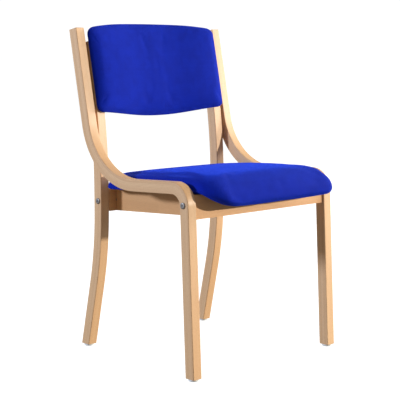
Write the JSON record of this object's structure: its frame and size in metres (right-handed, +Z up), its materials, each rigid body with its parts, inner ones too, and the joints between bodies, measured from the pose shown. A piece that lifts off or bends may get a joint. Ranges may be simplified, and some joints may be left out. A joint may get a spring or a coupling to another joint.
{
  "type": "choir chair",
  "caption": "Choir chair with a bentwood beech frame, curved rear legs that carry the back, and an upholstered seat and back.",
  "frame": {"origin": "on the floor, under the middle of the chair's overall box", "axes": "+Z up; the sitter faces -Y, so the sitter's right is at -X; the chair is the same on both sides of X = 0"},
  "size_m": [0.4988, 0.4882, 0.812],
  "materials": {
    "bentwood_beech": "laminated beech, clear satin lacquer",
    "beech_rail": "solid beech, clear satin lacquer",
    "plywood": "birch plywood, unfinished",
    "blue_cloth": "fine woven upholstery cloth, royal blue",
    "black_cloth": "thin black lining cloth",
    "foam": "cut polyurethane foam",
    "steel": "zinc-plated steel",
    "brass": "plain brass",
    "white_plastic": "moulded polyethylene"
  },
  "bodies": {
    "root": {"front_frame_left": "bentwood_beech", "front_frame_right": "bentwood_beech", "rear_leg_left": "bentwood_beech", "rear_leg_right": "bentwood_beech", "front_rail": "beech_rail", "rear_rail": "beech_rail", "side_rail_left": "beech_rail", "side_rail_right": "beech_rail", "side_packer_left": "beech_rail", "side_packer_right": "beech_rail", "corner_block_front_left": "plywood", "corner_block_front_right": "plywood", "corner_block_rear_left": "plywood", "corner_block_rear_right": "plywood", "leg_bolt_front_left": "steel", "leg_bolt_front_right": "steel", "leg_bolt_rear_left": "steel", "leg_bolt_rear_right": "steel", "barrel_nut_front_left": "steel", "barrel_nut_front_right": "steel", "barrel_nut_rear_left": "steel", "barrel_nut_rear_right": "steel", "side_screw_left_1": "steel", "side_screw_left_2": "steel", "side_screw_right_1": "steel", "side_screw_right_2": "steel", "seat_board": "plywood", "seat_foam": "foam", "seat_cover": "blue_cloth", "seat_lining": "black_cloth", "seat_screw_front_left": "steel", "seat_screw_front_right": "steel", "seat_screw_rear_left": "steel", "seat_screw_rear_right": "steel", "back_board": "plywood", "back_foam": "foam", "back_cover": "blue_cloth", "back_lining": "blue_cloth", "back_screw_left_1": "steel", "back_insert_left_1": "brass", "back_screw_left_2": "steel", "back_insert_left_2": "brass", "back_screw_right_1": "steel", "back_insert_right_1": "brass", "back_screw_right_2": "steel", "back_insert_right_2": "brass", "glide_front_left": "white_plastic", "glide_nail_front_left": "steel", "glide_front_right": "white_plastic", "glide_nail_front_right": "steel", "glide_rear_left": "white_plastic", "glide_nail_rear_left": "steel", "glide_rear_right": "white_plastic", "glide_nail_rear_right": "steel"}
  },
  "joints": []
}
